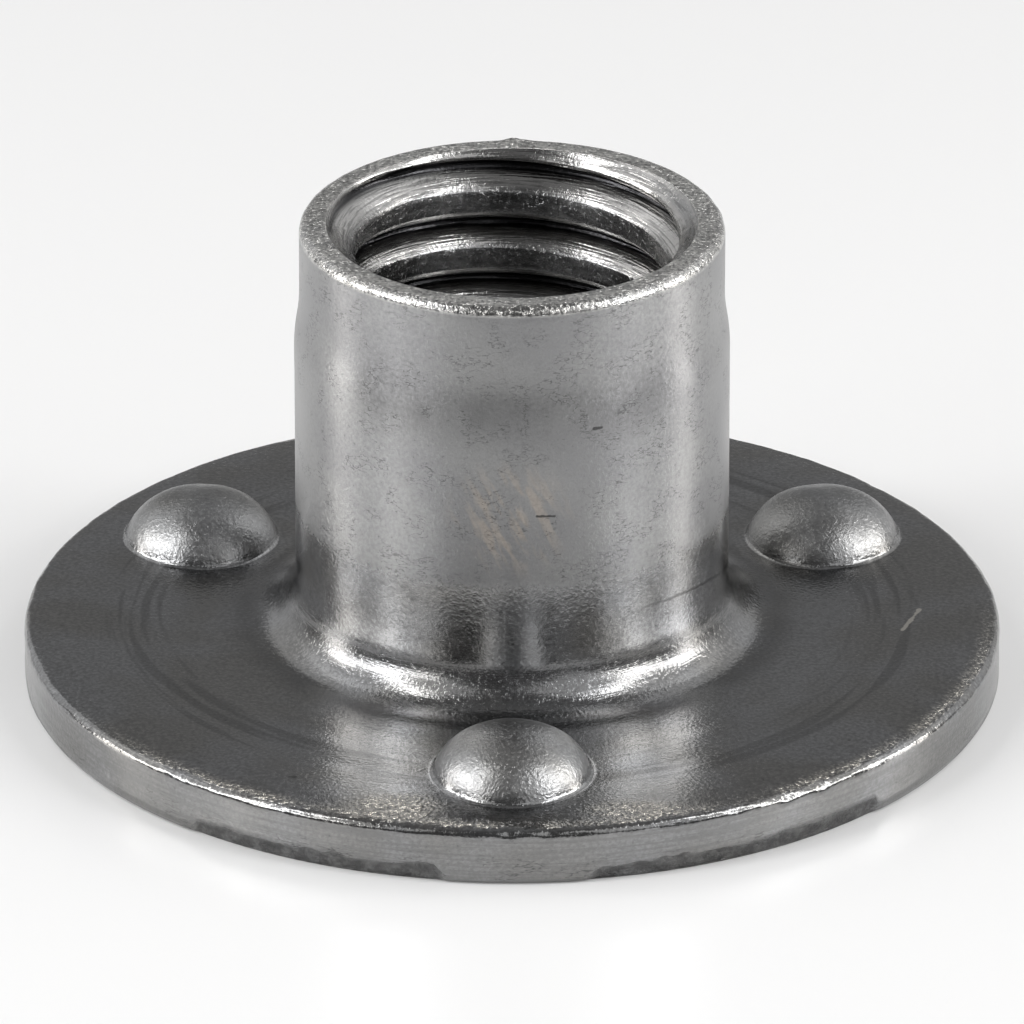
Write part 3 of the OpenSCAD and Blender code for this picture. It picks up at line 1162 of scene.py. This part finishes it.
def steel_colour(n, at, on, grain, lumps, lines):
    """Grey steel under painted shade, oil and wear, with a painted highlight on the front brink and painted
    reflections by the front projection, dark in its cracks and the torn foot, with painted shade in the
    thread's roots.
    """
    grit = n.ease(grain, 0.3, 0.7)
    layers = (
        # Painted shade on the barrel, its fillet and round its heel
        (on["soot"], "soot"),
        (n.times(on["smudge"], 0.55), "oil"),
        # Painted highlight on the front brink and painted reflections by the front projection
        (n.times(on["brink"], grit), "rubbed"),
        (n.times(on["dome"], 0.15), "dome"),
        (n.times(on["wall"], n.ease(lines, 0.35, 0.6, 0.75, 0.35)), "wall"),
        (worn_share(n, on, grain, lumps), "worn"),
        (n.times(on["thread"], n.less(on["crest"])), "flank"),
        (n.times(on["crest"], 0.5), "crest"),
        (n.times(on["rings"], 0.45), "arc"),
        (crack_share(n, on, grain, lines), "crack"),
        (n.times(on["scratch"], 0.8), "scratch"),
        # Painted shade in the thread's roots
        (on["root"], "root"),
        (n.times(on["torn"], n.ease(lumps, 0.35, 0.65, 0.4, 0.85)), "torn"),
    )
    colour = clean_colour(n, at, on, grit)
    for share, name in layers:
        colour = n.mix(share, colour, STEEL[name])
    return colour


def steel_roughness(n, on, grain, lumps):
    """Satin, hazy on the shank, and duller where the finish says so."""
    rough = n.ease(lumps, 0.25, 0.75, 0.09, 0.16)
    rough = n.blend(on["shank"], rough, n.ease(grain, 0.35, 0.65, 0.3, 0.41))
    low = n.times(on["barrel"], n.less(on["shank"]), 0.08)
    return n.add(rough, low, n.mark("dull"))


def steel_height(n, grain, lines):
    """Height of the grain and the tool lines, in mm. A few grains stand proud and catch the light."""
    even = n.times(grain, n.mark("grain_mm"))
    proud = n.times(n.ease(grain, 0.56, 0.7), n.mark("proud_mm"))
    return n.add(even, proud, n.times(lines, n.mark("lines_mm")))


def steel():
    """Bare drawn steel with its grain, tool rings, cracks and torn edge, with painted shade in the thread
    roots, on the barrel and round its heel, and a painted highlight on the front brink.
    """
    material = bpy.data.materials.new("bare_steel")
    n = Nodes(material)
    at = place(n)
    grain = speckle(n, at, GRAIN)
    lumps = speckle(n, at, LUMP)
    on = steel_marks(n, at, lumps)
    lines = tool_lines(n, at, *LINES, 1.0)
    n.put(n.shader.inputs["Base Color"], steel_colour(n, at, on, grain, lumps, lines))
    n.put(n.shader.inputs["Roughness"], steel_roughness(n, on, grain, lumps))
    n.put(n.shader.inputs["Metallic"], 1.0)
    drawn = n.add(on["shank"], on["thread"])
    n.put(n.shader.inputs["Anisotropic"], n.times(drawn, ANISOTROPY))
    n.put(n.shader.inputs["Anisotropic Rotation"], GRAIN_TURN)
    tangent = n.node("ShaderNodeTangent", direction_type="RADIAL", axis="Z")
    n.put(n.shader.inputs["Tangent"], tangent.outputs[0])
    bump = n.node("ShaderNodeBump")
    n.put(bump.inputs["Strength"], 1.0)
    n.put(bump.inputs["Distance"], MM)
    n.put(bump.inputs["Height"], steel_height(n, grain, lines))
    n.put(n.shader.inputs["Normal"], bump.outputs[0])
    return material


def add_nut():
    """The nut, which stands for the solid."""
    nut = bpy.data.objects.new("weld_nut_body", nut_mesh())
    bpy.context.scene.collection.objects.link(nut)
    nut.data.materials.append(steel())
    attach(nut, "root")
    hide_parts(NODE)


def add_floor():
    """Plain pale floor that the nut stands on."""
    bpy.ops.mesh.primitive_circle_add(vertices=FLOOR_SIDES, radius=FLOOR_R, fill_type="NGON")
    floor = bpy.context.object
    floor.name = "floor"
    floor.location.z = -FLOOR_GAP
    material = bpy.data.materials.new("floor_paper")
    n = Nodes(material)
    n.put(n.shader.inputs["Base Color"], FLOOR_COLOUR)
    n.put(n.shader.inputs["Roughness"], FLOOR_ROUGHNESS)
    n.put(n.shader.inputs["Specular IOR Level"], 0.5)
    # Seen directly or mirrored in the metal the paper glows a little, but not for other rays
    ray = n.node("ShaderNodeLightPath").outputs
    mirrored = n.math("MAXIMUM", ray["Is Glossy Ray"], ray["Is Transmission Ray"])
    seen = n.math("MAXIMUM", ray["Is Camera Ray"], mirrored)
    n.put(n.shader.inputs["Emission Color"], (1.0, 1.0, 1.0, 1))
    n.put(n.shader.inputs["Emission Strength"], n.times(seen, FLOOR_GLOW))
    floor.data.materials.append(material)


def add_panel(name, azimuth, elevation, distance, width, height, radiance, colour=(1, 1, 1)):
    """A light panel that faces the nut. Azimuth 0 is the camera's side, and positive is to its right."""
    data = bpy.data.lights.new(name, "AREA")
    data.shape = "RECTANGLE"
    data.size = width
    data.size_y = height
    data.energy = radiance * math.pi * width * height
    data.color = colour
    light = bpy.data.objects.new(name, data)
    az, el = math.radians(azimuth), math.radians(elevation)
    aim = Vector((0, 0, NUT_H / 2 * MM))
    away = Vector((math.sin(az) * math.cos(el), -math.cos(az) * math.cos(el), math.sin(el)))
    light.location = aim + away * distance
    light.rotation_euler = (-away).to_track_quat("-Z", "Y").to_euler()
    light.visible_camera = False
    bpy.context.scene.collection.objects.link(light)


def add_lights():
    """On each side a wide wall, a bright box, a low band, a warm strip and a dim panel at the rear."""
    for name, (side, front, bright, low_azimuth) in LIGHT_SIDES.items():
        width = 2 * WALL_DISTANCE * math.tan(math.radians(WALL_BACK - front) / 2)
        wall = (WALL_ELEVATION, WALL_DISTANCE, width, WALL_HEIGHT)
        add_panel(f"wall_{name}", side * (front + WALL_BACK) / 2, *wall, WALL_RADIANCE)
        add_panel(f"box_{name}", side * BOX_AZIMUTH, *BOX_PANEL, bright)
        add_panel(f"low_{name}", side * low_azimuth, *LOW_PANEL, LOW_RADIANCE)
        add_panel(f"strip_{name}", side * STRIP_AZIMUTH, *STRIP_PANEL, STRIP_RADIANCE, WARM)
        add_panel(f"rear_{name}", side * REAR_AZIMUTH, *REAR_PANEL, REAR_RADIANCE)


def add_room():
    """A dim room, lighter behind the nut."""
    world = bpy.data.worlds.new("room")
    bpy.context.scene.world = world
    n = Nodes(world)
    split = n.node("ShaderNodeSeparateXYZ")
    n.put(split.inputs[0], n.node("ShaderNodeTexCoord").outputs["Generated"])
    behind = n.ease(split.outputs[1], -0.7, 0.5)
    n.put(n.shader.inputs["Color"], n.mix(behind, ROOM_FRONT, ROOM_BACK))
    n.put(n.shader.inputs["Strength"], 1.0)


def add_camera():
    """The photograph's view."""
    data = bpy.data.cameras.new("photo_view")
    data.sensor_width = SENSOR_MM
    data.lens = LENS_MM
    data.clip_start = CLIP_START
    camera = bpy.data.objects.new("photo_view", data)
    e = CAMERA_ELEVATION
    camera.location = CAMERA_DISTANCE * Vector((0, -math.cos(e), math.sin(e)))
    aim = Vector((0, 0, CAMERA_AIM_Z))
    camera.rotation_euler = (aim - camera.location).to_track_quat("-Z", "Y").to_euler()
    bpy.context.scene.collection.objects.link(camera)
    bpy.context.scene.camera = camera


add_camera()
add_floor()
add_lights()
add_room()
add_nut()
bpy.context.scene.view_settings.view_transform = "Standard"
